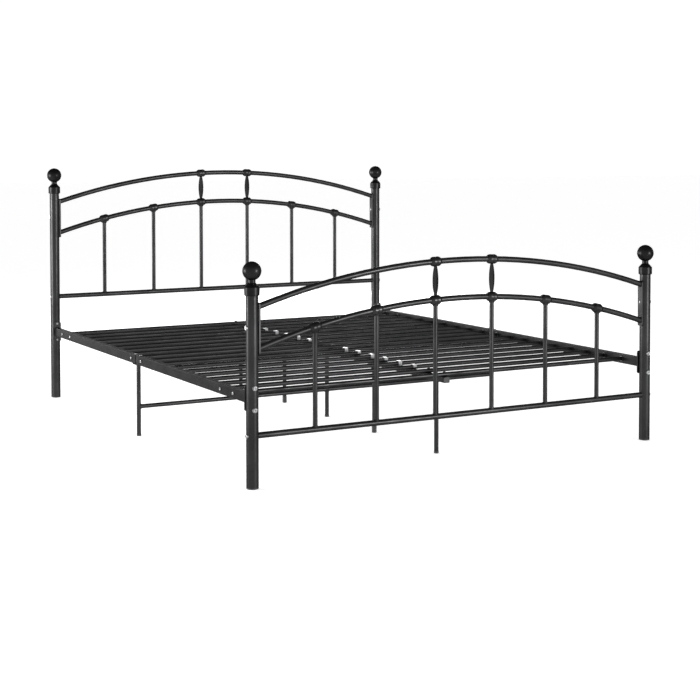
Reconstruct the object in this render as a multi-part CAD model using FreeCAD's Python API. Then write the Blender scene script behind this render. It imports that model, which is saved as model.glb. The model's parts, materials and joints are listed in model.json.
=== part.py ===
"""A double bed frame in steel tube: posts with ball finials, arched end panels and a slatted deck.

Millimetres. +Z is up, +Y points to the head end and +X to the right, seen from the foot end.
The origin is on the floor, at the middle of the bed's outline.
"""

import FreeCAD
import Part
import math
import os

Vec = FreeCAD.Vector

# ---------------------------------------------------------------- overall sizes
OVERALL_WIDTH = 1660.0  # over the balls of the finials
OVERALL_LENGTH = 2080.0  # over the balls of the finials
HEAD_HEIGHT = 995.0  # floor to the top of the head finials
FOOT_HEIGHT = 725.0  # floor to the top of the foot finials

# ---------------------------------------------------------------- posts and finials
POST_DIAMETER = 40.0
POST_WALL = 1.5
BALL_DIAMETER = 61.0
NECK_DIAMETER = 23.5
NECK_HEIGHT = 7.0  # shoulder to the lowest point of the ball
SHOULDER_HEIGHT = 14.5  # cone between the collar and the neck
COLLAR_WALL = 4.8
COLLAR_HEIGHT = 26.5
COLLAR_CAP = 5.0  # post's top end down from the top of the collar
COLLAR_CHAMFER = 2.2
PLUG_SOLE = 5.0  # plastic under the post's tube
PLUG_EDGE = 2.0  # rounding of the sole's lower edge
PLUG_SPIGOT = 22.0  # height of the plug inside the tube
PLUG_WALL = 2.5

# ---------------------------------------------------------------- end panels
PANEL_TUBE = 20.0  # arches and bottom rail
PANEL_WALL = 1.5
UPPER_ARCH_DROP = 144.0  # top of the finials down to the upper arch's ends
LOWER_ARCH_DROP = 278.0  # top of the finials down to the lower arch's ends
BOTTOM_RAIL_DROP = 556.0  # top of the finials down to the bottom rail
UPPER_ARCH_RISE = 120.0
LOWER_ARCH_RISE = 123.0
STRIP_THICKNESS = 5.0
STRIP_WIDTH = 24.0
STRIP_SEAT = 1.0  # depth of the groove that hugs the post
STRIP_BELOW = 21.0  # strip end below the lower arch's axis
STRIP_ABOVE = 12.0  # strip end above the upper arch's axis
STRIP_ROUND = 6.0
SPINDLE_DIAMETER = 16.0
SPINDLE_WALL = 1.2
SPINDLE_PITCH = 230.0
SPINDLES_PER_SIDE = 3
KNOT_LENGTH = 40.0
KNOT_SWELL = 6.6  # how far a knot stands out from its tube
KNOT_RIM = 1.2  # step from the tube to the knot's ends
KNOT_EDGE = 9.0  # length of its sloping ends
KNOT_BULGE = 0.8  # roundness of those slopes
KNOT_GROOVE_HALF = 2.5  # half the width of the groove round its middle
KNOT_GROOVE_DEPTH = 0.9
BOSS_ROOT = 5.5  # wall of the knot's sleeve where it leaves the knot
BOSS_WALL = 1.4  # wall of the sleeve at its end, round the spindle
BOSS_DEPTH = 10.0  # sleeve length beyond the tube's surface
LEAF_WIDTH = 24.0
LEAF_THICKNESS = 14.0
LEAF_TIP_WIDTH = 6.0
LEAF_TIP_THICKNESS = 5.0

# ---------------------------------------------------------------- side rails
RAIL_WIDTH = 18.0
RAIL_HEIGHT = 35.0
RAIL_WALL = 1.5
RAIL_AXIS_HEIGHT = 288.0
END_PLATE_WIDTH = 34.0
END_PLATE_HEIGHT = 84.0
END_PLATE_THICKNESS = 5.0
END_PLATE_SEAT = 1.5
END_PLATE_ROUND = 7.0
RAIL_BOLT_SPREAD = 70.0  # the two bolts of an end plate

# ---------------------------------------------------------------- legs and braces
LEG_DIAMETER = 16.0
LEG_WALL = 1.2
LEG_GAP = 1.0  # mid leg to the end of a rail half
STUB_CLEARANCE = 0.2  # stub to the inside of the rail, each side
STUB_LENGTH = 75.0  # from the middle of the bed to the end of a stub
TAB_LENGTH = 38.0
TAB_THICKNESS = 3.0
TOP_BOLT_OFFSET = 25.0  # rail joint bolts from the middle of the bed
INNER_LEG_OFFSET = 386.0  # centre legs between the middle and the ends
LEG_PLATE_LENGTH = 44.0
LEG_PLATE_THICKNESS = 3.0
FOOT_SOLE = 2.0
FOOT_WALL = 0.9
FOOT_EDGE = 1.0  # rounding of a leg foot's lower edge
FOOT_HEIGHT_SHORT = 8.0
TALL_FOOT_WALL = 1.5
FOOT_HEIGHT_TALL = 27.0
BRACE_DIAMETER = 16.0
BRACE_HEIGHT = 111.0

# ---------------------------------------------------------------- slats and centre beam
SLAT_DIAMETER = 16.0
SLAT_WALL = 1.2
SLAT_PITCH = 104.0
SLAT_END_SPACE = 30.0  # least clear space from the last slat to an end plate
SLAT_PLUG_FLANGE = 2.0
SLAT_PLUG_RIM = 1.2
SLAT_PLUG_SPIGOT = 14.0
SLAT_PLUG_PIN = 7.0
SLAT_PLUG_REACH = 5.0
BEAM_WIDTH = 22.0
BEAM_HEIGHT = 20.0
BEAM_WALL = 1.5
BEAM_OVERHANG = 8.5  # beam end beyond the last slat
BEAM_JOINT_GAP = 0.6
JOINER_CLEARANCE = 0.2
JOINER_LENGTH = 220.0
BEAM_PLUG_FACE = 2.0
BEAM_PLUG_DEPTH = 10.0
CLIP_WIDTH = 14.0
CLIP_SHEET = 2.0
CLIP_CLEARANCE = 0.2
CLIP_FLANGE = 11.0
CLIP_HOOK = 10.0  # height of the turned-down end
RIVET_DIAMETER = 7.0
RIVET_HEIGHT = 1.6
RIVET_PLACE = 6.05  # along the flange, from the web

# ---------------------------------------------------------------- fasteners
M8_DIAMETER = 8.0
M8_HOLE = 8.6
M8_HEAD_DIAMETER = 17.5
M8_HEAD_HEIGHT = 3.2
M8_SOCKET = 5.0
M8_SOCKET_DEPTH = 2.0
M8_THREAD_SHOWN = 1.0  # bolt end beyond a strip or an end plate
M8_GRIP = 14.0  # thread in a bottom rail's insert
M6_DIAMETER = 6.0
M6_HOLE = 6.6
M6_HEAD_DIAMETER = 10.5
M6_HEAD_HEIGHT = 3.0
M6_SOCKET = 4.0
M6_SOCKET_DEPTH = 2.0
M6_GRIP = 12.0  # thread in a slat's insert
M6_JOINT_LENGTH = 9.0
INSERT_LENGTH = 24.0

# ---------------------------------------------------------------- places worked out from the sizes
POST_RADIUS = POST_DIAMETER / 2
POST_X = (OVERALL_WIDTH - BALL_DIAMETER) / 2
POST_Y = (OVERALL_LENGTH - BALL_DIAMETER) / 2
FINIAL_HEIGHT = COLLAR_HEIGHT + SHOULDER_HEIGHT + NECK_HEIGHT + BALL_DIAMETER
PANEL_RADIUS = PANEL_TUBE / 2
SPINDLE_RADIUS = SPINDLE_DIAMETER / 2
STRIP_FACE_X = POST_X - POST_RADIUS - STRIP_THICKNESS
PLATE_FACE_Y = POST_Y - POST_RADIUS - END_PLATE_THICKNESS
RAIL_INNER_X = POST_X - RAIL_WIDTH / 2
RAIL_OUTER_X = POST_X + RAIL_WIDTH / 2
RAIL_TOP = RAIL_AXIS_HEIGHT + RAIL_HEIGHT / 2
RAIL_BOTTOM = RAIL_AXIS_HEIGHT - RAIL_HEIGHT / 2
RAIL_GAP_HALF = LEG_DIAMETER / 2 + LEG_GAP
SLAT_RADIUS = SLAT_DIAMETER / 2
SLAT_ROOM = PLATE_FACE_Y - SLAT_END_SPACE - SLAT_RADIUS - SLAT_PITCH / 2
SLATS_PER_HALF = int(SLAT_ROOM // SLAT_PITCH) + 1
LAST_SLAT_Y = (SLATS_PER_HALF - 0.5) * SLAT_PITCH
SLAT_END_X = RAIL_INNER_X - SLAT_PLUG_FLANGE
BEAM_TOP = RAIL_AXIS_HEIGHT - SLAT_RADIUS
BEAM_BOTTOM = BEAM_TOP - BEAM_HEIGHT
BEAM_END_Y = LAST_SLAT_Y + SLAT_RADIUS + BEAM_OVERHANG
END_LEG_Y = LAST_SLAT_Y - SLAT_PITCH / 2

SIDES = {"left": -1, "right": 1}
ENDS = {"head": 1, "foot": -1}
HEIGHTS = {"head": HEAD_HEIGHT, "foot": FOOT_HEIGHT}
UP = Vec(0, 0, 1)


# ---------------------------------------------------------------- plain shapes
def rod(start, end, diameter):
    """A solid round bar between two points."""
    along = end - start
    return Part.makeCylinder(diameter / 2, along.Length, start, along)


def tube(start, end, diameter, wall):
    """A round tube between two points, open at both ends."""
    return rod(start, end, diameter).cut(rod(start, end, diameter - 2 * wall))


def block(low, high):
    """A box between two opposite corners, given in any order."""
    corner = Vec(*(min(a, b) for a, b in zip(low, high)))
    size = [abs(b - a) for a, b in zip(low, high)]
    return Part.makeBox(*size, corner)


def box_tube_y(centre_x, centre_z, width, height, wall, start_y, end_y):
    """A rectangular tube that runs along Y, open at both ends."""
    outer = section_along_y(centre_x, centre_z, width, height, wall, start_y, end_y)
    inner_width = width - 2 * wall
    inner_height = height - 2 * wall
    inner = block(
        (centre_x - inner_width / 2, start_y, centre_z - inner_height / 2),
        (centre_x + inner_width / 2, end_y, centre_z + inner_height / 2),
    )
    return outer.cut(inner)


def section_along_y(centre_x, centre_z, width, height, corner, start_y, end_y):
    """A solid bar along Y whose four long edges are rounded."""
    bar = block(
        (centre_x - width / 2, start_y, centre_z - height / 2),
        (centre_x + width / 2, end_y, centre_z + height / 2),
    )
    return bar.makeFillet(corner, edges_along(bar, Vec(0, 1, 0)))


def edges_along(shape, direction):
    """The straight edges of a shape that run along a direction."""
    found = []
    for edge in shape.Edges:
        if isinstance(edge.Curve, Part.Line):
            if abs(abs(edge.tangentAt(edge.FirstParameter).dot(direction)) - 1) < 1e-6:
                found.append(edge)
    return found


def line(a, b):
    """A straight edge between two points."""
    return Part.LineSegment(a, b).toShape()


def arc(a, middle, b):
    """A round edge through three points."""
    return Part.Arc(a, middle, b).toShape()


def turned(edges, axis_point, axis):
    """A closed outline turned a full circle about an axis."""
    face = Part.Face(Part.Wire(edges))
    return face.revolve(axis_point, axis, 360)


def hexagon(centre, axis, flats, depth):
    """A hexagonal prism that starts at a point and runs along an axis."""
    corner = flats / math.sqrt(3)
    ring = [
        Vec(corner * math.cos(math.radians(60 * i)), corner * math.sin(math.radians(60 * i)), 0)
        for i in range(7)
    ]
    prism = Part.Face(Part.makePolygon(ring)).extrude(Vec(0, 0, depth))
    prism.Placement = FreeCAD.Placement(centre, FreeCAD.Rotation(UP, axis))
    return prism


def cut_all(shape, tools):
    """A shape with several others taken away."""
    return shape.cut(tools) if tools else shape


def write(name, solids):
    """Saves a node: one solid, or several alike in one file."""
    shape = solids[0] if len(solids) == 1 else Part.makeCompound(solids)
    loose = [s for s in solids if len(s.Solids) != 1 or not s.isValid()]
    if loose:
        raise ValueError(f"{name} has a piece that isn't one valid solid")
    shape.exportStep(f"parts/{name}.step")
    print(f"{name}: {len(solids)} solid(s), {sum(s.Volume for s in solids) / 1000:.1f} cm3")


# ---------------------------------------------------------------- fasteners
def domed_bolt(seat, outward, length, sizes):
    """A button-head bolt. seat is under the head, and the shank runs against outward."""
    diameter, head_diameter, head_height, socket, socket_depth = sizes
    rim = head_height * 0.35
    radius = head_diameter / 2
    top_radius = socket * 0.75
    outline = [
        Vec(0, 0, 0),
        Vec(radius, 0, 0),
        Vec(radius, 0, rim),
        Vec(top_radius, 0, head_height),
        Vec(0, 0, head_height),
    ]
    bulge = Vec((radius + top_radius) / 2 + 0.16 * radius, 0, (rim + head_height) / 2 + 0.12 * head_height)
    head = turned(
        [
            line(outline[0], outline[1]),
            line(outline[1], outline[2]),
            arc(outline[2], bulge, outline[3]),
            line(outline[3], outline[4]),
            line(outline[4], outline[0]),
        ],
        Vec(0, 0, 0),
        UP,
    )
    drive = hexagon(Vec(0, 0, head_height - socket_depth), UP, socket, socket_depth + 1)
    bolt = head.cut(drive).fuse(rod(Vec(0, 0, 0), Vec(0, 0, -length), diameter)).removeSplitter()
    bolt.Placement = FreeCAD.Placement(seat, FreeCAD.Rotation(UP, outward))
    return bolt


M8_SIZES = (M8_DIAMETER, M8_HEAD_DIAMETER, M8_HEAD_HEIGHT, M8_SOCKET, M8_SOCKET_DEPTH)
M6_SIZES = (M6_DIAMETER, M6_HEAD_DIAMETER, M6_HEAD_HEIGHT, M6_SOCKET, M6_SOCKET_DEPTH)


def post_bolt(post_axis, turn, length):
    """An M8 bolt across a post, its head turned from +X by an angle in degrees.

    A curved foot under the head fits the round of the post.
    """
    out = Vec(1, 0, 0)
    seat = out * POST_RADIUS
    foot = rod(seat * 0.8, seat + out, M8_HEAD_DIAMETER)
    post = rod(UP * -M8_HEAD_DIAMETER, UP * M8_HEAD_DIAMETER, POST_DIAMETER)
    bolt = domed_bolt(seat, out, length, M8_SIZES).fuse(foot.cut(post)).removeSplitter()
    bolt.Placement = FreeCAD.Placement(post_axis, FreeCAD.Rotation(UP, turn))
    return bolt


# ---------------------------------------------------------------- posts
def strip_bolt_height(end):
    """Height of the bolt that holds a panel's end strip, midway between the arch ends."""
    return HEIGHTS[end] - (UPPER_ARCH_DROP + LOWER_ARCH_DROP) / 2


def bottom_rail_height(end):
    """Height of a panel's bottom rail."""
    return HEIGHTS[end] - BOTTOM_RAIL_DROP


def rail_bolt_heights():
    """Heights of the two bolts that hold a side rail's end plate."""
    return [RAIL_AXIS_HEIGHT - RAIL_BOLT_SPREAD / 2, RAIL_AXIS_HEIGHT + RAIL_BOLT_SPREAD / 2]


def make_post(end, side):
    """A post tube with its cross holes."""
    x = SIDES[side] * POST_X
    y = ENDS[end] * POST_Y
    top = HEIGHTS[end] - FINIAL_HEIGHT + COLLAR_HEIGHT - COLLAR_CAP
    body = tube(Vec(x, y, PLUG_SOLE), Vec(x, y, top), POST_DIAMETER, POST_WALL)
    reach = POST_RADIUS + 5
    holes = [
        rod(Vec(x - reach, y, z), Vec(x + reach, y, z), M8_HOLE)
        for z in (strip_bolt_height(end), bottom_rail_height(end))
    ]
    holes += [rod(Vec(x, y - reach, z), Vec(x, y + reach, z), M8_HOLE) for z in rail_bolt_heights()]
    return cut_all(body, holes)


def make_finial(end, side):
    """A cast ball on a neck, with a collar that slips over the post."""
    base = Vec(SIDES[side] * POST_X, ENDS[end] * POST_Y, HEIGHTS[end] - FINIAL_HEIGHT)
    collar = POST_RADIUS + COLLAR_WALL
    neck = NECK_DIAMETER / 2
    ball = BALL_DIAMETER / 2
    ball_z = FINIAL_HEIGHT - ball
    meet_z = ball_z - math.sqrt(ball**2 - neck**2)
    socket = COLLAR_HEIGHT - COLLAR_CAP

    def at(radius, height):
        return base + Vec(radius, 0, height)

    outline = [
        line(at(POST_RADIUS, 0), at(collar - COLLAR_CHAMFER, 0)),
        line(at(collar - COLLAR_CHAMFER, 0), at(collar, COLLAR_CHAMFER)),
        line(at(collar, COLLAR_CHAMFER), at(collar, COLLAR_HEIGHT)),
        line(at(collar, COLLAR_HEIGHT), at(neck, COLLAR_HEIGHT + SHOULDER_HEIGHT)),
        line(at(neck, COLLAR_HEIGHT + SHOULDER_HEIGHT), at(neck, meet_z)),
        arc(at(neck, meet_z), at(ball, ball_z), at(0, FINIAL_HEIGHT)),
        line(at(0, FINIAL_HEIGHT), at(0, socket)),
        line(at(0, socket), at(POST_RADIUS, socket)),
        line(at(POST_RADIUS, socket), at(POST_RADIUS, 0)),
    ]
    return turned(outline, base, UP)


def make_post_plug(end, side):
    """A plastic plug: a sole the width of the post and a hollow spigot inside it."""
    base = Vec(SIDES[side] * POST_X, ENDS[end] * POST_Y, 0)
    sole = Part.makeCylinder(POST_RADIUS, PLUG_SOLE, base, UP)
    lower_edge = [e for e in sole.Edges if e.BoundBox.ZMax < 1e-6]
    sole = sole.makeFillet(PLUG_EDGE, lower_edge)
    spigot_diameter = POST_DIAMETER - 2 * POST_WALL
    top = base + UP * (PLUG_SOLE + PLUG_SPIGOT)
    spigot = tube(base + UP * (PLUG_SOLE - 1), top, spigot_diameter, PLUG_WALL)
    return sole.fuse(spigot).removeSplitter()


# ---------------------------------------------------------------- end panels
class Arch:
    """A round-arc tube between the two end strips of a panel."""

    def __init__(self, end, drop, rise):
        self.y = ENDS[end] * POST_Y
        self.end_z = HEIGHTS[end] - drop
        self.crown_z = self.end_z + rise
        self.radius = (STRIP_FACE_X**2 + rise**2) / (2 * rise)
        self.centre = Vec(0, self.y, self.crown_z - self.radius)

    def height_at(self, x):
        """Height of the tube's axis at a place across the bed."""
        return self.centre.z + math.sqrt(self.radius**2 - x**2)

    def slope_at(self, x):
        """How far the axis leans at x, in degrees, down to the right where it is positive."""
        return math.degrees(math.asin(x / self.radius))

    def bar(self, diameter):
        """The solid bar of this diameter along the arch, cut square at the strips."""
        half_angle = self.slope_at(STRIP_FACE_X) + 1.5
        crown = Vec(0, self.y, self.crown_z)
        disc = Part.Face(Part.Wire(Part.makeCircle(diameter / 2, crown, Vec(1, 0, 0))))
        disc.rotate(self.centre, Vec(0, 1, 0), -half_angle)
        sweep = disc.revolve(self.centre, Vec(0, 1, 0), 2 * half_angle)
        keep = block(
            (-STRIP_FACE_X, self.y - diameter, self.centre.z),
            (STRIP_FACE_X, self.y + diameter, self.crown_z + diameter),
        )
        return sweep.common(keep)

    def tube(self):
        """The arch as a tube."""
        return self.bar(PANEL_TUBE).cut(self.bar(PANEL_TUBE - 2 * PANEL_WALL))


def spindle_places():
    """Places of the spindles across the bed, from left to right."""
    right = [(i + 0.5) * SPINDLE_PITCH for i in range(SPINDLES_PER_SIDE)]
    return [-x for x in reversed(right)] + right


def leaf_places():
    """Places of the leaf spindles, over the two middle spindles."""
    return [-SPINDLE_PITCH / 2, SPINDLE_PITCH / 2]


def knot_barrel(centre, slope):
    """The swelling of a knot along its tube, with sloping ends and a groove round its middle."""
    half = KNOT_LENGTH / 2
    top = PANEL_RADIUS + KNOT_SWELL
    rim = PANEL_RADIUS + KNOT_RIM
    shoulder = half - KNOT_EDGE
    slope_middle = (half + shoulder) / 2
    slope_radius = (rim + top) / 2 + KNOT_BULGE

    def at(along, radius):
        return Vec(along, 0, radius)

    outline = [
        line(at(-half, 0), at(-half, rim)),
        arc(at(-half, rim), at(-slope_middle, slope_radius), at(-shoulder, top)),
        line(at(-shoulder, top), at(-KNOT_GROOVE_HALF, top)),
        arc(at(-KNOT_GROOVE_HALF, top), at(0, top - KNOT_GROOVE_DEPTH), at(KNOT_GROOVE_HALF, top)),
        line(at(KNOT_GROOVE_HALF, top), at(shoulder, top)),
        arc(at(shoulder, top), at(slope_middle, slope_radius), at(half, rim)),
        line(at(half, rim), at(half, 0)),
        line(at(half, 0), at(-half, 0)),
    ]
    barrel = turned(outline, Vec(0, 0, 0), Vec(1, 0, 0))
    barrel.rotate(Vec(0, 0, 0), Vec(0, 1, 0), slope)
    barrel.translate(centre)
    return barrel


def knot_boss(centre):
    """The short tapered sleeve of a knot round the spindle under it."""
    start = centre - UP * PANEL_RADIUS
    return Part.makeCone(SPINDLE_RADIUS + BOSS_ROOT, SPINDLE_RADIUS + BOSS_WALL, BOSS_DEPTH, start, -UP)


def make_leaf(end, x, lower, upper):
    """A four-sided leaf between the two arches, widest at its middle, with a ridge down each face."""
    low = lower.height_at(x) + PANEL_RADIUS / 2
    high = upper.height_at(x) - PANEL_RADIUS / 2
    axis = Vec(x, ENDS[end] * POST_Y, 0)
    across = (Vec(1, 0, 0), Vec(0, 1, 0), Vec(-1, 0, 0), Vec(0, -1, 0))
    tips = (LEAF_TIP_WIDTH / 2, LEAF_TIP_THICKNESS / 2) * 2
    bellies = (LEAF_WIDTH / 2, LEAF_THICKNESS / 2) * 2
    bottoms = [axis + out * tip + UP * low for out, tip in zip(across, tips)]
    middles = [axis + out * belly + UP * (low + high) / 2 for out, belly in zip(across, bellies)]
    tops = [axis + out * tip + UP * high for out, tip in zip(across, tips)]
    ribs = [arc(*points) for points in zip(bottoms, middles, tops)]
    faces = [Part.makeRuledSurface(ribs[i], ribs[(i + 1) % 4]) for i in range(4)]
    faces += [Part.Face(Part.makePolygon([*ends, ends[0]])) for ends in (bottoms, tops)]
    leaf = Part.Solid(Part.makeShell(faces))
    leaf.fixTolerance(1e-5)
    return leaf if leaf.Volume > 0 else leaf.reversed()


def make_strip(end, side):
    """The flat strip that joins both arch ends, threaded for the bolt across the post."""
    sign = SIDES[side]
    y = ENDS[end] * POST_Y
    low = HEIGHTS[end] - LOWER_ARCH_DROP - STRIP_BELOW
    high = HEIGHTS[end] - UPPER_ARCH_DROP + STRIP_ABOVE
    outer_x = POST_X - POST_RADIUS + STRIP_SEAT
    strip = block(
        (sign * STRIP_FACE_X, y - STRIP_WIDTH / 2, low),
        (sign * outer_x, y + STRIP_WIDTH / 2, high),
    )
    strip = strip.makeFillet(STRIP_ROUND, edges_along(strip, Vec(1, 0, 0)))
    post = rod(Vec(sign * POST_X, y, low - 5), Vec(sign * POST_X, y, high + 5), POST_DIAMETER)
    hole_z = strip_bolt_height(end)
    thread = rod(Vec(sign * (STRIP_FACE_X - 5), y, hole_z), Vec(sign * (outer_x + 5), y, hole_z), M8_DIAMETER)
    return strip.cut([post, thread])


def make_panel(end):
    """All the pieces of a headboard or footboard, as a node name to its solids."""
    y = ENDS[end] * POST_Y
    rail_z = bottom_rail_height(end)
    upper = Arch(end, UPPER_ARCH_DROP, UPPER_ARCH_RISE)
    lower = Arch(end, LOWER_ARCH_DROP, LOWER_ARCH_RISE)
    upper_bar = upper.bar(PANEL_TUBE)
    lower_bar = lower.bar(PANEL_TUBE)
    rail_bar = rod(Vec(-POST_X, y, rail_z), Vec(POST_X, y, rail_z), PANEL_TUBE)
    rail_core = rod(Vec(-POST_X, y, rail_z), Vec(POST_X, y, rail_z), PANEL_TUBE - 2 * PANEL_WALL)
    posts = [
        rod(Vec(s * POST_X, y, rail_z - 30), Vec(s * POST_X, y, rail_z + 30), POST_DIAMETER)
        for s in SIDES.values()
    ]
    spindle_bars = {
        x: rod(Vec(x, y, rail_z), Vec(x, y, lower.height_at(x)), SPINDLE_DIAMETER).cut([rail_bar, lower_bar])
        for x in spindle_places()
    }
    spindle_cores = {
        x: rod(Vec(x, y, rail_z), Vec(x, y, lower.height_at(x)), SPINDLE_DIAMETER - 2 * SPINDLE_WALL)
        for x in spindle_places()
    }
    leaves = {x: make_leaf(end, x, lower, upper).cut([lower_bar, upper_bar]) for x in leaf_places()}

    knots = []
    for x in spindle_places():
        centre = Vec(x, y, lower.height_at(x))
        body = knot_barrel(centre, lower.slope_at(x)).fuse(knot_boss(centre))
        fitted = [lower_bar, spindle_bars[x]]
        if x in leaves:
            fitted.append(leaves[x])
        knots.append(body.cut(fitted).removeSplitter())
    for x in leaf_places():
        body = knot_barrel(Vec(x, y, upper.height_at(x)), upper.slope_at(x))
        knots.append(body.cut([upper_bar, leaves[x]]).removeSplitter())

    board = {"head": "headboard", "foot": "footboard"}[end]
    return {
        f"{board}_upper_arch": [upper.tube()],
        f"{board}_lower_arch": [lower.tube()],
        f"{board}_bottom_rail": [rail_bar.cut([rail_core, *posts])],
        f"{board}_end_strip_left": [make_strip(end, "left")],
        f"{board}_end_strip_right": [make_strip(end, "right")],
        f"{board}_spindles": [spindle_bars[x].cut(spindle_cores[x]) for x in spindle_places()],
        f"{board}_leaf_spindles": [leaves[x] for x in leaf_places()],
        f"{board}_knots": knots,
    }


def make_rail_inserts():
    """Threaded plugs inside the ends of both bottom rails."""
    plugs = []
    for end, sign_y in ENDS.items():
        for sign_x in SIDES.values():
            z = bottom_rail_height(end)
            start = Vec(sign_x * (POST_X - POST_RADIUS - 1), sign_y * POST_Y, z)
            finish = start - Vec(sign_x * INSERT_LENGTH, 0, 0)
            plug = rod(start, finish, PANEL_TUBE - 2 * PANEL_WALL)
            plugs.append(plug.cut(rod(start, finish, M8_DIAMETER)))
    return plugs


# ---------------------------------------------------------------- side rails
def slat_places(end):
    """Places of the slats along one half of the bed, from the middle outwards."""
    return [ENDS[end] * (i + 0.5) * SLAT_PITCH for i in range(SLATS_PER_HALF)]


def is_bolted(y):
    """True for the slat next to the middle and the last two, which are bolted."""
    index = round(abs(y) / SLAT_PITCH - 0.5)
    return index in (0, SLATS_PER_HALF - 2, SLATS_PER_HALF - 1)


def make_rail_half(end, side):
    """Half of a side rail, drilled for the slats and for the joint in the middle."""
    sign_x = SIDES[side]
    sign_y = ENDS[end]
    x = sign_x * POST_X
    rail = box_tube_y(
        x, RAIL_AXIS_HEIGHT, RAIL_WIDTH, RAIL_HEIGHT, RAIL_WALL, sign_y * RAIL_GAP_HALF, sign_y * PLATE_FACE_Y
    )
    holes = [rail_top_hole(x, sign_y * TOP_BOLT_OFFSET)]
    for y in slat_places(end):
        inside = Vec(x - sign_x * RAIL_WIDTH, y, RAIL_AXIS_HEIGHT)
        if is_bolted(y):
            holes.append(rod(inside, Vec(x + sign_x * RAIL_WIDTH, y, RAIL_AXIS_HEIGHT), M6_HOLE))
        else:
            holes.append(rod(inside, Vec(x, y, RAIL_AXIS_HEIGHT), SLAT_PLUG_PIN))
    return rail.cut(holes)


def rail_top_hole(x, y):
    """The hole of a joint bolt, through the top walls of the rail and the stub in it."""
    return rod(Vec(x, y, RAIL_AXIS_HEIGHT), Vec(x, y, RAIL_TOP + 5), M6_HOLE)


def make_end_plate(end, side):
    """The plate on a side rail's end, grooved to sit on the post and threaded for two bolts."""
    x = SIDES[side] * POST_X
    sign_y = ENDS[end]
    low = RAIL_AXIS_HEIGHT - END_PLATE_HEIGHT / 2
    high = RAIL_AXIS_HEIGHT + END_PLATE_HEIGHT / 2
    outer_y = POST_Y - POST_RADIUS + END_PLATE_SEAT
    plate = block(
        (x - END_PLATE_WIDTH / 2, sign_y * PLATE_FACE_Y, low),
        (x + END_PLATE_WIDTH / 2, sign_y * outer_y, high),
    )
    plate = plate.makeFillet(END_PLATE_ROUND, edges_along(plate, Vec(0, 1, 0)))
    y = sign_y * POST_Y
    post = rod(Vec(x, y, low - 5), Vec(x, y, high + 5), POST_DIAMETER)
    inner_y = sign_y * (PLATE_FACE_Y - 5)
    threads = [rod(Vec(x, y, z), Vec(x, inner_y, z), M8_DIAMETER) for z in rail_bolt_heights()]
    return plate.cut([post, *threads])


# ---------------------------------------------------------------- legs and braces
def make_mid_leg(side):
    """A leg at the middle of a side rail, with stubs that slide into both rail halves."""
    x = SIDES[side] * POST_X
    stub_width = RAIL_WIDTH - 2 * RAIL_WALL - 2 * STUB_CLEARANCE
    stub_height = RAIL_HEIGHT - 2 * RAIL_WALL - 2 * STUB_CLEARANCE
    leg_bar = rod(Vec(x, 0, FOOT_SOLE), Vec(x, 0, RAIL_TOP), LEG_DIAMETER)
    leg_core = rod(
        Vec(x, 0, FOOT_SOLE), Vec(x, 0, RAIL_TOP - RAIL_WALL), LEG_DIAMETER - 2 * LEG_WALL
    )
    body = leg_bar
    for sign_y in ENDS.values():
        stub = box_tube_y(
            x, RAIL_AXIS_HEIGHT, stub_width, stub_height, RAIL_WALL, 0, sign_y * STUB_LENGTH
        )
        body = body.fuse(stub)
    tab = block(
        (x - RAIL_WIDTH / 2, 0, RAIL_BOTTOM - TAB_THICKNESS), (x + RAIL_WIDTH / 2, TAB_LENGTH, RAIL_BOTTOM)
    )
    body = body.fuse(tab).cut(leg_core)
    holes = [rail_top_hole(x, s * TOP_BOLT_OFFSET) for s in ENDS.values()]
    for sign_y in ENDS.values():
        y = sign_y * SLAT_PITCH / 2
        holes.append(
            rod(Vec(x - RAIL_WIDTH, y, RAIL_AXIS_HEIGHT), Vec(x + RAIL_WIDTH, y, RAIL_AXIS_HEIGHT), M6_HOLE)
        )
    return body.cut(holes).removeSplitter()


def centre_leg_places():
    """Places of the centre legs along the bed, by name."""
    return {
        "head_end": END_LEG_Y,
        "head": INNER_LEG_OFFSET,
        "middle": 0.0,
        "foot": -INNER_LEG_OFFSET,
        "foot_end": -END_LEG_Y,
    }


def make_centre_leg(y):
    """A leg under the centre beam: a tube with a plate on top."""
    plate_bottom = BEAM_BOTTOM - LEG_PLATE_THICKNESS
    leg = tube(Vec(0, y, FOOT_SOLE), Vec(0, y, plate_bottom), LEG_DIAMETER, LEG_WALL)
    plate = block(
        (-BEAM_WIDTH / 2, y - LEG_PLATE_LENGTH / 2, plate_bottom),
        (BEAM_WIDTH / 2, y + LEG_PLATE_LENGTH / 2, BEAM_BOTTOM),
    )
    return leg.fuse(plate).removeSplitter()


def make_leg_foot(x, y, height, wall):
    """A plastic cup on the bottom of a leg."""
    cup = rod(Vec(x, y, 0), Vec(x, y, height), LEG_DIAMETER + 2 * wall)
    lower_edge = [e for e in cup.Edges if e.BoundBox.ZMax < 1e-6]
    cup = cup.makeFillet(FOOT_EDGE, lower_edge)
    return cup.cut(rod(Vec(x, y, FOOT_SOLE), Vec(x, y, height + 1), LEG_DIAMETER))


def make_leg_feet():
    """The feet of the centre legs and the mid legs."""
    feet = []
    for y in centre_leg_places().values():
        tall = abs(y) == INNER_LEG_OFFSET
        height = FOOT_HEIGHT_TALL if tall else FOOT_HEIGHT_SHORT
        wall = TALL_FOOT_WALL if tall else FOOT_WALL
        feet.append(make_leg_foot(0, y, height, wall))
    feet += [make_leg_foot(s * POST_X, 0, FOOT_HEIGHT_SHORT, FOOT_WALL) for s in SIDES.values()]
    return feet


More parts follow.
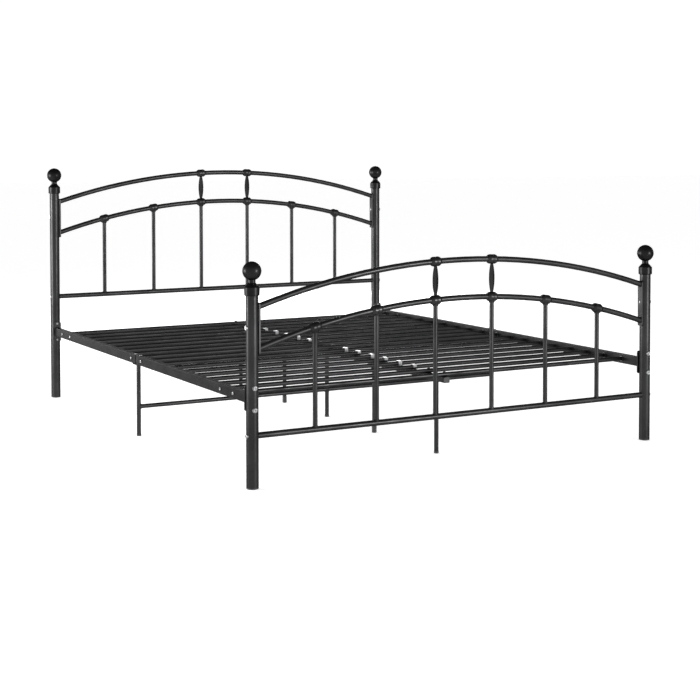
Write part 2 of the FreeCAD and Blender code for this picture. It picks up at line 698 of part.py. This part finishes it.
def make_brace(side):
    """A cross brace from a mid leg to the middle centre leg, coped to both."""
    x = SIDES[side] * POST_X
    start = Vec(0, 0, BRACE_HEIGHT)
    finish = Vec(x, 0, BRACE_HEIGHT)
    legs = [
        rod(Vec(place, 0, BRACE_HEIGHT - 20), Vec(place, 0, BRACE_HEIGHT + 20), LEG_DIAMETER)
        for place in (0, x)
    ]
    bar = rod(start, finish, BRACE_DIAMETER).cut(legs)
    longest = max(bar.Solids, key=lambda s: s.Volume)
    core = rod(start, finish, BRACE_DIAMETER - 2 * LEG_WALL)
    return max(longest.cut(core).Solids, key=lambda s: s.Volume)


# ---------------------------------------------------------------- slats and centre beam
def beam_bolt_hole(y):
    """The hole of a bolt down through a slat and the top of the centre beam."""
    return rod(Vec(0, y, BEAM_TOP - BEAM_HEIGHT / 2), Vec(0, y, RAIL_AXIS_HEIGHT + SLAT_DIAMETER), M6_HOLE)


def make_slat(y):
    """One slat, drilled at its middle if it is bolted to the beam."""
    slat = tube(
        Vec(-SLAT_END_X, y, RAIL_AXIS_HEIGHT), Vec(SLAT_END_X, y, RAIL_AXIS_HEIGHT), SLAT_DIAMETER, SLAT_WALL
    )
    return slat.cut(beam_bolt_hole(y)) if is_bolted(y) else slat


def make_slat_end(y, sign_x, bolted):
    """The piece in a slat's end: a plug with a pin in the rail, or an insert for a bolt."""

    def at(x):
        return Vec(sign_x * x, y, RAIL_AXIS_HEIGHT)

    flange = rod(at(SLAT_END_X), at(RAIL_INNER_X), SLAT_DIAMETER + 2 * SLAT_PLUG_RIM)
    spigot = rod(at(SLAT_END_X - SLAT_PLUG_SPIGOT), at(SLAT_END_X), SLAT_DIAMETER - 2 * SLAT_WALL)
    body = flange.fuse(spigot)
    if bolted:
        body = body.cut(rod(at(SLAT_END_X - SLAT_PLUG_SPIGOT - 1), at(RAIL_INNER_X + 1), M6_DIAMETER))
    else:
        body = body.fuse(rod(at(RAIL_INNER_X), at(RAIL_INNER_X + RAIL_WALL + SLAT_PLUG_REACH), SLAT_PLUG_PIN))
    return body.removeSplitter()


def all_slats():
    """Places of all the slats, from the foot end to the head end."""
    return sorted(slat_places("foot") + slat_places("head"))


def make_beam_half(end):
    """Half of the centre beam, with holes for the slat bolts."""
    sign = ENDS[end]
    beam = box_tube_y(
        0,
        (BEAM_TOP + BEAM_BOTTOM) / 2,
        BEAM_WIDTH,
        BEAM_HEIGHT,
        BEAM_WALL,
        sign * BEAM_JOINT_GAP / 2,
        sign * BEAM_END_Y,
    )
    return cut_all(beam, [beam_bolt_hole(y) for y in slat_places(end) if is_bolted(y)])


def make_beam_joiner():
    """The bar inside both halves of the centre beam, where they meet."""
    inset = 2 * (BEAM_WALL + JOINER_CLEARANCE)
    bar = box_tube_y(
        0,
        (BEAM_TOP + BEAM_BOTTOM) / 2,
        BEAM_WIDTH - inset,
        BEAM_HEIGHT - inset,
        BEAM_WALL,
        -JOINER_LENGTH / 2,
        JOINER_LENGTH / 2,
    )
    return bar.cut([beam_bolt_hole(s * SLAT_PITCH / 2) for s in ENDS.values()])


def make_beam_plug(end):
    """The plastic plug in an open end of the centre beam."""
    sign = ENDS[end]
    middle_z = (BEAM_TOP + BEAM_BOTTOM) / 2
    face = section_along_y(
        0,
        middle_z,
        BEAM_WIDTH,
        BEAM_HEIGHT,
        BEAM_WALL,
        sign * BEAM_END_Y,
        sign * (BEAM_END_Y + BEAM_PLUG_FACE),
    )
    inner = block(
        (BEAM_WALL - BEAM_WIDTH / 2, sign * (BEAM_END_Y - BEAM_PLUG_DEPTH), BEAM_BOTTOM + BEAM_WALL),
        (BEAM_WIDTH / 2 - BEAM_WALL, sign * BEAM_END_Y, BEAM_TOP - BEAM_WALL),
    )
    return face.fuse(inner).removeSplitter()


def make_clip(y, web_side):
    """A sheet-metal clip: a riveted flange on the beam, and a hook up, over and down round the slat."""
    gap = SLAT_RADIUS + CLIP_CLEARANCE
    near = y + web_side * gap
    far = near + web_side * CLIP_SHEET
    hook_near = y - web_side * gap
    hook_far = hook_near - web_side * CLIP_SHEET
    lip_z = RAIL_AXIS_HEIGHT + gap
    top_z = lip_z + CLIP_SHEET
    half = CLIP_WIDTH / 2
    web = block((-half, near, BEAM_TOP), (half, far, top_z))
    lip = block((-half, far, lip_z), (half, hook_far, top_z))
    hook = block((-half, hook_near, top_z - CLIP_HOOK), (half, hook_far, top_z))
    flange = block((-half, near, BEAM_TOP), (half, far + web_side * CLIP_FLANGE, BEAM_TOP + CLIP_SHEET))
    rivet_y = far + web_side * RIVET_PLACE
    rivet_z = BEAM_TOP + CLIP_SHEET
    rivet = Part.makeCone(RIVET_DIAMETER / 2, RIVET_DIAMETER / 3, RIVET_HEIGHT, Vec(0, rivet_y, rivet_z), UP)
    return web.fuse([lip, hook, flange, rivet]).removeSplitter()


def make_clips():
    """Clips on the slats that aren't bolted, turned to the foot and to the head by turns."""
    clips = []
    for number, y in enumerate(all_slats()):
        if not is_bolted(y):
            clips.append(make_clip(y, -1 if number % 2 else 1))
    return clips


# ---------------------------------------------------------------- fasteners in place
def make_frame_bolts():
    """The M8 bolts across the posts, for the panels and for the side rails."""
    strip_bolt = POST_DIAMETER + STRIP_THICKNESS + M8_THREAD_SHOWN
    plate_bolt = POST_DIAMETER + END_PLATE_THICKNESS + M8_THREAD_SHOWN
    bottom_bolt = POST_DIAMETER + M8_GRIP
    bolts = []
    for end, sign_y in ENDS.items():
        for sign_x in SIDES.values():
            post = Vec(sign_x * POST_X, sign_y * POST_Y, 0)
            outward = 90 - sign_x * 90
            bolts.append(post_bolt(post + UP * strip_bolt_height(end), outward, strip_bolt))
            bolts.append(post_bolt(post + UP * bottom_rail_height(end), outward, bottom_bolt))
            bolts += [post_bolt(post + UP * z, sign_y * 90, plate_bolt) for z in rail_bolt_heights()]
    return bolts


def make_rail_bolts():
    """The M6 bolts from outside through the rails into slats, and down into the stubs."""
    bolts = []
    for sign_x in SIDES.values():
        for y in all_slats():
            if is_bolted(y):
                seat = Vec(sign_x * RAIL_OUTER_X, y, RAIL_AXIS_HEIGHT)
                bolts.append(domed_bolt(seat, Vec(sign_x, 0, 0), RAIL_WIDTH + M6_GRIP, M6_SIZES))
        for sign_y in ENDS.values():
            seat = Vec(sign_x * POST_X, sign_y * TOP_BOLT_OFFSET, RAIL_TOP)
            bolts.append(domed_bolt(seat, UP, M6_JOINT_LENGTH, M6_SIZES))
    return bolts


def make_beam_bolts():
    """The black M6 bolts from the top of the bolted slats down into the centre beam."""
    top = RAIL_AXIS_HEIGHT + SLAT_RADIUS
    length = SLAT_DIAMETER + BEAM_HEIGHT / 2 - 1
    return [domed_bolt(Vec(0, y, top), UP, length, M6_SIZES) for y in all_slats() if is_bolted(y)]


# ---------------------------------------------------------------- the whole bed
def build():
    """Every node of the bed frame, as its name to its solids."""
    nodes = {}
    for end in ENDS:
        for side in SIDES:
            nodes[f"{end}_post_{side}"] = [make_post(end, side)]
            nodes[f"{end}_finial_{side}"] = [make_finial(end, side)]
            nodes[f"{end}_post_plug_{side}"] = [make_post_plug(end, side)]
            nodes[f"side_rail_{side}_{end}"] = [make_rail_half(end, side)]
            nodes[f"rail_end_plate_{side}_{end}"] = [make_end_plate(end, side)]
        nodes.update(make_panel(end))
        nodes[f"centre_beam_{end}"] = [make_beam_half(end)]
        nodes[f"slats_{end}"] = [make_slat(y) for y in slat_places(end)]
    for side in SIDES:
        nodes[f"mid_leg_{side}"] = [make_mid_leg(side)]
        nodes[f"cross_brace_{side}"] = [make_brace(side)]
    for name, y in centre_leg_places().items():
        nodes[f"centre_leg_{name}"] = [make_centre_leg(y)]
    nodes["leg_feet"] = make_leg_feet()
    nodes["centre_beam_joiner"] = [make_beam_joiner()]
    nodes["centre_beam_plugs"] = [make_beam_plug(end) for end in ENDS]
    places = [(y, s) for y in all_slats() for s in SIDES.values()]
    nodes["slat_end_plugs"] = [make_slat_end(y, s, False) for y, s in places if not is_bolted(y)]
    nodes["slat_end_inserts"] = [make_slat_end(y, s, True) for y, s in places if is_bolted(y)]
    nodes["slat_clips"] = make_clips()
    nodes["bottom_rail_inserts"] = make_rail_inserts()
    nodes["frame_bolts"] = make_frame_bolts()
    nodes["rail_bolts"] = make_rail_bolts()
    nodes["beam_bolts"] = make_beam_bolts()
    return nodes


os.makedirs("parts", exist_ok=True)
for node_name, node_solids in build().items():
    write(node_name, node_solids)
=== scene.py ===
"""Looks of the steel bed frame: powder-coated tube, zinc-plated fasteners, weld beads and a white studio."""

import json
import math

import bmesh
import bpy
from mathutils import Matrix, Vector


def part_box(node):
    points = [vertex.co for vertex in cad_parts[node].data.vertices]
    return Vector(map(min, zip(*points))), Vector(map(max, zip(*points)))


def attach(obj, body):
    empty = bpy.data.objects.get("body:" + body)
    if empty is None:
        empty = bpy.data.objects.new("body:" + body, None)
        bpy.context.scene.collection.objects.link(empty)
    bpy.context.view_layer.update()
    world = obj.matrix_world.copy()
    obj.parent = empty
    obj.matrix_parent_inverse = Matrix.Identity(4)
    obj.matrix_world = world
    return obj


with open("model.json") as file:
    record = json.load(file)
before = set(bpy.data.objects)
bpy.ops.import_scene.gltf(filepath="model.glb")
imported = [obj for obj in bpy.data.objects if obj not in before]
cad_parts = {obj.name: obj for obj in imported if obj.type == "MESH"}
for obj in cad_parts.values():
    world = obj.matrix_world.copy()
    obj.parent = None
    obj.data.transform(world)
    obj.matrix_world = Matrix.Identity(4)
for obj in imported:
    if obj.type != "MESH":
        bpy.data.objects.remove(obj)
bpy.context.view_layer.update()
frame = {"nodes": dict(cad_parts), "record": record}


# ---------------------------------------------------------------- materials
def new_material(name):
    """An empty node material with its principled shader."""
    material = bpy.data.materials.new(name)
    material.use_nodes = True
    return material, material.node_tree.nodes, material.node_tree.links


def ramp(nodes, low, high, from_colour, to_colour):
    """A colour ramp with two stops."""
    made = nodes.new("ShaderNodeValToRGB")
    made.color_ramp.elements[0].position = low
    made.color_ramp.elements[0].color = (*from_colour, 1)
    made.color_ramp.elements[1].position = high
    made.color_ramp.elements[1].color = (*to_colour, 1)
    return made


def noise(nodes, links, coords, scale, detail=3.0, roughness=0.5):
    """A noise texture over the object's own coordinates, its scale per metre."""
    made = nodes.new("ShaderNodeTexNoise")
    made.inputs["Scale"].default_value = scale
    made.inputs["Detail"].default_value = detail
    made.inputs["Roughness"].default_value = roughness
    links.new(coords.outputs["Object"], made.inputs["Vector"])
    return made


def powder_coat(name, base, roughness, peel_depth):
    """Baked paint: an orange-peel skin, patches of gloss and dust, edges rubbed a little lighter."""
    material, nodes, links = new_material(name)
    shader = nodes["Principled BSDF"]
    coords = nodes.new("ShaderNodeTexCoord")

    patches = noise(nodes, links, coords, 9.0, 4.0)
    tint = ramp(nodes, 0.35, 0.7, base, tuple(c * 1.5 + 0.002 for c in base))
    links.new(patches.outputs["Fac"], tint.inputs["Fac"])

    geometry = nodes.new("ShaderNodeNewGeometry")
    worn = ramp(nodes, 0.52, 0.62, (0, 0, 0), (1, 1, 1))
    links.new(geometry.outputs["Pointiness"], worn.inputs["Fac"])
    flecks = noise(nodes, links, coords, 160.0, 5.0, 0.7)
    fleck_mask = ramp(nodes, 0.5, 0.66, (0, 0, 0), (1, 1, 1))
    links.new(flecks.outputs["Fac"], fleck_mask.inputs["Fac"])
    rub = nodes.new("ShaderNodeMath")
    rub.operation = "MULTIPLY"
    links.new(worn.outputs["Color"], rub.inputs[0])
    links.new(fleck_mask.outputs["Color"], rub.inputs[1])
    rub_amount = nodes.new("ShaderNodeMath")
    rub_amount.operation = "MULTIPLY"
    rub_amount.inputs[1].default_value = 0.25
    links.new(rub.outputs[0], rub_amount.inputs[0])
    mixed = nodes.new("ShaderNodeMix")
    mixed.data_type = "RGBA"
    mixed.inputs["B"].default_value = (0.06, 0.06, 0.062, 1)
    links.new(rub_amount.outputs[0], mixed.inputs["Factor"])
    links.new(tint.outputs["Color"], mixed.inputs["A"])
    links.new(mixed.outputs["Result"], shader.inputs["Base Color"])

    gloss = noise(nodes, links, coords, 24.0, 5.0, 0.6)
    gloss_range = nodes.new("ShaderNodeMapRange")
    gloss_range.inputs["From Min"].default_value = 0.3
    gloss_range.inputs["From Max"].default_value = 0.7
    gloss_range.inputs["To Min"].default_value = roughness - 0.05
    gloss_range.inputs["To Max"].default_value = roughness + 0.07
    links.new(gloss.outputs["Fac"], gloss_range.inputs["Value"])
    links.new(gloss_range.outputs["Result"], shader.inputs["Roughness"])

    peel = noise(nodes, links, coords, 520.0, 2.0)
    grain = noise(nodes, links, coords, 2600.0, 1.0)
    fine = nodes.new("ShaderNodeBump")
    fine.inputs["Strength"].default_value = 0.12
    fine.inputs["Distance"].default_value = peel_depth * 0.3
    links.new(grain.outputs["Fac"], fine.inputs["Height"])
    skin = nodes.new("ShaderNodeBump")
    skin.inputs["Strength"].default_value = 0.35
    skin.inputs["Distance"].default_value = peel_depth
    links.new(peel.outputs["Fac"], skin.inputs["Height"])
    links.new(fine.outputs["Normal"], skin.inputs["Normal"])
    links.new(skin.outputs["Normal"], shader.inputs["Normal"])

    shader.inputs["Metallic"].default_value = 0.85
    shader.inputs["Specular IOR Level"].default_value = 0.22
    shader.inputs["Specular Tint"].default_value = (0.12, 0.12, 0.12, 1)
    return material


def plated_steel(name, dark, light, roughness):
    """Zinc plate: bright metal with cloudy passivation and fine tumbling scratches."""
    material, nodes, links = new_material(name)
    shader = nodes["Principled BSDF"]
    coords = nodes.new("ShaderNodeTexCoord")
    clouds = noise(nodes, links, coords, 140.0, 4.0, 0.6)
    tint = ramp(nodes, 0.35, 0.68, dark, light)
    links.new(clouds.outputs["Fac"], tint.inputs["Fac"])
    links.new(tint.outputs["Color"], shader.inputs["Base Color"])
    scratches = noise(nodes, links, coords, 900.0, 6.0, 0.75)
    spread = nodes.new("ShaderNodeMapRange")
    spread.inputs["To Min"].default_value = roughness - 0.08
    spread.inputs["To Max"].default_value = roughness + 0.12
    links.new(scratches.outputs["Fac"], spread.inputs["Value"])
    links.new(spread.outputs["Result"], shader.inputs["Roughness"])
    dents = nodes.new("ShaderNodeBump")
    dents.inputs["Strength"].default_value = 0.25
    dents.inputs["Distance"].default_value = 0.0002
    links.new(scratches.outputs["Fac"], dents.inputs["Height"])
    links.new(dents.outputs["Normal"], shader.inputs["Normal"])
    shader.inputs["Metallic"].default_value = 1.0
    return material


def moulded_plastic(name, base):
    """Matt black plastic with a spark-eroded grain."""
    material, nodes, links = new_material(name)
    shader = nodes["Principled BSDF"]
    coords = nodes.new("ShaderNodeTexCoord")
    cloud = noise(nodes, links, coords, 40.0, 4.0)
    tint = ramp(nodes, 0.35, 0.7, base, tuple(c * 1.8 for c in base))
    links.new(cloud.outputs["Fac"], tint.inputs["Fac"])
    links.new(tint.outputs["Color"], shader.inputs["Base Color"])
    grain = noise(nodes, links, coords, 1500.0, 3.0, 0.6)
    bump = nodes.new("ShaderNodeBump")
    bump.inputs["Strength"].default_value = 0.4
    bump.inputs["Distance"].default_value = 0.00015
    links.new(grain.outputs["Fac"], bump.inputs["Height"])
    links.new(bump.outputs["Normal"], shader.inputs["Normal"])
    shader.inputs["Roughness"].default_value = 0.55
    return material


BLACK = (0.026, 0.026, 0.0265)
DEEP_BLACK = (0.013, 0.013, 0.0135)
looks = {
    "black_powder_coat": powder_coat("powder_coat", BLACK, 0.31, 0.00012),
    "cast_black_paint": powder_coat("cast_paint", DEEP_BLACK, 0.3, 0.0001),
    "zinc_plate": plated_steel("zinc_plate", (0.15, 0.15, 0.155), (0.28, 0.28, 0.285), 0.36),
    "black_zinc": plated_steel("black_zinc", (0.02, 0.02, 0.021), (0.05, 0.05, 0.052), 0.4),
    "black_plastic": moulded_plastic("moulded_plastic", (0.013, 0.013, 0.014)),
}
slot_of = {part["node"]: part["material_slot"] for part in frame["record"]["subparts"]}
knot_paint = powder_coat("knot_paint", BLACK, 0.27, 0.0001)
for name, piece in frame["nodes"].items():
    is_panel_casting = "knots" in name or "leaf" in name
    piece.data.materials.clear()
    piece.data.materials.append(knot_paint if is_panel_casting else looks[slot_of[name]])

# ---------------------------------------------------------------- weld beads
TUBE = 0.010  # radius of the panels' arches and bottom rails
ROD = 0.008  # radius of the spindles, legs and braces
BEAD = 0.0017  # radius of a bead of weld
BEAD_SUNK = BEAD * 0.3  # how far a bead's middle lies in from a tube's end
RIPPLE = 0.0042  # length of a ripple along a bead
ROD_BEAD = ROD + 3e-4  # radius of a bead's path round a rod
TUBE_BEAD = TUBE + 2e-4  # radius of a bead's path round a tube
LEG_PLATE = 0.003  # thickness of the plates on the centre legs
RAIL_CORNER = 0.0015  # corner radius of a side rail's section
TIP_DEPTH = 5e-4  # how near a vertex is to an arch's end to belong to it


def clusters(name, axis, gap):
    """Boxes of the separate pieces of a node, told apart by a gap along an axis."""
    points = sorted((tuple(v.co) for v in frame["nodes"][name].data.vertices), key=lambda c: c[axis])
    groups = [[points[0]]]
    for point in points[1:]:
        if point[axis] - groups[-1][-1][axis] > gap:
            groups.append([])
        groups[-1].append(point)
    return [(Vector(map(min, zip(*g))), Vector(map(max, zip(*g)))) for g in groups]


def ring_path(place, steps=40):
    """A closed path, given by a function of the angle round it."""
    return [Vector(place(2 * math.pi * i / steps)) for i in range(steps)]


def bead_mesh(name, paths, radius, ripple):
    """Beads of weld: a round section swept along closed paths, rippled as the pool freezes."""
    mesh = bmesh.new()
    sides = 8
    for path in paths:
        count = len(path)
        travelled = 0.0
        rings = []
        for i, point in enumerate(path):
            along = (path[(i + 1) % count] - path[i - 1]).normalized()
            side = along.orthogonal().normalized()
            up = along.cross(side)
            travelled += (point - path[i - 1]).length if i else 0.0
            size = radius * (1 + 0.16 * math.sin(2 * math.pi * travelled / ripple + i * 1.7))
            rings.append(
                [
                    mesh.verts.new(point + (side * math.cos(a) + up * math.sin(a)) * size)
                    for a in (2 * math.pi * k / sides for k in range(sides))
                ]
            )
        for i, ring in enumerate(rings):
            after = rings[(i + 1) % count]
            start = min(range(sides), key=lambda k: (after[k].co - ring[0].co).length)
            for k in range(sides):
                near, far = (start + k) % sides, (start + k + 1) % sides
                mesh.faces.new((ring[k], ring[(k + 1) % sides], after[far], after[near]))
    bmesh.ops.recalc_face_normals(mesh, faces=mesh.faces)
    data = bpy.data.meshes.new(name)
    mesh.to_mesh(data)
    mesh.free()
    for face in data.polygons:
        face.use_smooth = True
    piece = bpy.data.objects.new(name, data)
    data.materials.append(looks["black_powder_coat"])
    bpy.context.scene.collection.objects.link(piece)
    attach(piece, "root")


def panel_welds(board):
    """Beads where a panel's arches meet its end strips and its spindles stand on the bottom rail."""
    paths = []
    for arch in ("upper_arch", "lower_arch"):
        low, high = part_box(f"{board}_{arch}")
        vertices = frame["nodes"][f"{board}_{arch}"].data.vertices
        for end_x, sign in ((low[0], 1), (high[0], -1)):
            tip = [v.co for v in vertices if abs(v.co.x - end_x) < TIP_DEPTH]
            y = sum(c.y for c in tip) / len(tip)
            z = (min(c.z for c in tip) + max(c.z for c in tip)) / 2
            x = end_x + sign * BEAD_SUNK
            paths.append(
                ring_path(
                    lambda a, x=x, y=y, z=z: (x, y + TUBE_BEAD * math.cos(a), z + TUBE_BEAD * math.sin(a))
                )
            )
    rail_low, rail_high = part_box(f"{board}_bottom_rail")
    rail_z = (rail_low[2] + rail_high[2]) / 2
    for low, high in clusters(f"{board}_spindles", 0, 0.05):
        x = (low.x + high.x) / 2
        y = (low.y + high.y) / 2
        paths.append(
            ring_path(
                lambda a, x=x, y=y: (
                    x + ROD_BEAD * math.cos(a),
                    y + ROD_BEAD * math.sin(a),
                    rail_z + math.sqrt(TUBE**2 - (ROD_BEAD * math.sin(a)) ** 2) + 1e-4,
                )
            )
        )
    return paths


def rounded_rectangle(x, y, z, width, height, corner, steps=6):
    """A closed path round a rail's section, at one place along the bed."""
    path = []
    for quarter, (sx, sz) in enumerate(((1, 1), (-1, 1), (-1, -1), (1, -1))):
        for i in range(steps + 1):
            a = math.pi / 2 * (quarter + i / steps)
            path.append(
                Vector(
                    (
                        x + sx * (width / 2 - corner) + corner * math.cos(a),
                        y,
                        z + sz * (height / 2 - corner) + corner * math.sin(a),
                    )
                )
            )
    return path


def densify(path, step):
    """The same closed path with points no further apart than a step."""
    made = []
    for i, point in enumerate(path):
        after = path[(i + 1) % len(path)]
        count = max(1, math.ceil((after - point).length / step))
        made += [point.lerp(after, k / count) for k in range(count)]
    return made


def rail_welds():
    """Beads where the side rails meet their end plates."""
    paths = []
    for side in ("left", "right"):
        for end, sign in (("head", 1), ("foot", -1)):
            low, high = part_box(f"side_rail_{side}_{end}")
            y = (high[1] if sign > 0 else low[1]) - sign * BEAD_SUNK
            outline = rounded_rectangle(
                (low[0] + high[0]) / 2,
                y,
                (low[2] + high[2]) / 2,
                high[0] - low[0],
                high[2] - low[2],
                RAIL_CORNER,
            )
            paths.append(densify(outline, RAIL_CORNER))
    return paths


def leg_welds():
    """Beads under the centre legs' plates and where the cross braces meet the legs."""
    paths = []
    for place in ("head_end", "head", "middle", "foot", "foot_end"):
        low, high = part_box(f"centre_leg_{place}")
        x = (low[0] + high[0]) / 2
        y = (low[1] + high[1]) / 2
        z = high[2] - LEG_PLATE - BEAD_SUNK
        paths.append(
            ring_path(lambda a, x=x, y=y, z=z: (x + ROD_BEAD * math.cos(a), y + ROD_BEAD * math.sin(a), z))
        )
    for side, sign in (("left", -1), ("right", 1)):
        low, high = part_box(f"cross_brace_{side}")
        z = (low[2] + high[2]) / 2
        for leg_x, facing in ((0.0, sign), (low[0] if sign < 0 else high[0], -sign)):
            paths.append(
                ring_path(
                    lambda a, x=leg_x, f=facing: (
                        x + f * math.sqrt(max(ROD**2 - (ROD * math.sin(a)) ** 2, 0.0)) + f * BEAD * 0.4,
                        ROD_BEAD * math.sin(a),
                        z + ROD_BEAD * math.cos(a),
                    )
                )
            )
    return paths


for board in ("headboard", "footboard"):
    bead_mesh(f"{board}_weld_beads", panel_welds(board), BEAD, RIPPLE)
bead_mesh("rail_weld_beads", rail_welds(), BEAD, RIPPLE)
bead_mesh("leg_weld_beads", leg_welds(), BEAD, RIPPLE)

# ---------------------------------------------------------------- studio
FLOOR_GLOW = 0.5  # light that the floor gives off by itself
FLOOR_HALF = 40  # metres from the middle to an edge of the floor
CEILING = 0.25  # brightness overhead, against 1 at the walls
WALL_STRENGTH = 1.03
white = bpy.data.materials.new("studio_white")
white.use_nodes = True
paper = white.node_tree.nodes["Principled BSDF"]
paper.inputs["Base Color"].default_value = (0.97, 0.97, 0.97, 1)
paper.inputs["Roughness"].default_value = 0.9
paper.inputs["Emission Color"].default_value = (1, 1, 1, 1)
paper.inputs["Emission Strength"].default_value = FLOOR_GLOW
floor_mesh = bpy.data.meshes.new("floor")
corners = [(x * FLOOR_HALF, y * FLOOR_HALF, 0) for x, y in ((-1, -1), (1, -1), (1, 1), (-1, 1))]
floor_mesh.from_pydata(corners, [], [(0, 1, 2, 3)])
floor_mesh.materials.append(white)
floor = bpy.data.objects.new("floor", floor_mesh)
bpy.context.scene.collection.objects.link(floor)

world = bpy.data.worlds.new("studio")
bpy.context.scene.world = world
world.use_nodes = True
sky_nodes = world.node_tree.nodes
sky_links = world.node_tree.links
direction = sky_nodes.new("ShaderNodeTexCoord")
parts = sky_nodes.new("ShaderNodeSeparateXYZ")
sky_links.new(direction.outputs["Generated"], parts.inputs["Vector"])
sky = ramp(sky_nodes, 0.3, 0.75, (1, 1, 1), (CEILING, CEILING, CEILING))
sky_links.new(parts.outputs["Z"], sky.inputs["Fac"])
sky_links.new(sky.outputs["Color"], sky_nodes["Background"].inputs["Color"])
sky_nodes["Background"].inputs["Strength"].default_value = WALL_STRENGTH


def softbox(name, place, target, size, power):
    """A large rectangular light that faces a point."""
    lamp = bpy.data.lights.new(name, "AREA")
    lamp.shape = "RECTANGLE"
    lamp.size, lamp.size_y = size
    lamp.energy = power
    holder = bpy.data.objects.new(name, lamp)
    holder.location = place
    holder.rotation_euler = (Vector(target) - Vector(place)).to_track_quat("-Z", "Y").to_euler()
    bpy.context.scene.collection.objects.link(holder)


softbox("side_light", (-4.6, 1.2, 0.75), (-0.8, -0.5, 0.5), (1.4, 1.4), 170)
softbox("left_back_light", (-3.0, 4.2, 0.9), (-0.8, 0, 0.3), (2.4, 1.6), 230)
softbox("front_light", (2.6, -6.2, 0.8), (0, -0.6, 0.5), (1.0, 1.4), 200)
softbox("back_light", (2.6, 4.6, 1.2), (0, 0, 0.6), (1.0, 1.6), 60)

# ---------------------------------------------------------------- camera
SENSOR = 36.0
LENS = SENSOR * 1491.7 / 700
CAMERA_PLACE = (-2.7906, -5.2958, 1.0837)
CAMERA_TILT = 2.12  # degrees down from level
CAMERA_TURN = 30.03  # degrees to the right of straight along the bed
camera_data = bpy.data.cameras.new("camera")
camera_data.sensor_width = SENSOR
camera_data.lens = LENS
camera_data.shift_x = -0.05
camera_data.shift_y = -0.21
camera_data.clip_end = 200
camera = bpy.data.objects.new("camera", camera_data)
camera.location = CAMERA_PLACE
camera.rotation_euler = (math.radians(90 - CAMERA_TILT), 0, math.radians(-CAMERA_TURN))
bpy.context.scene.collection.objects.link(camera)
bpy.context.scene.camera = camera
bpy.context.scene.view_settings.view_transform = "Standard"
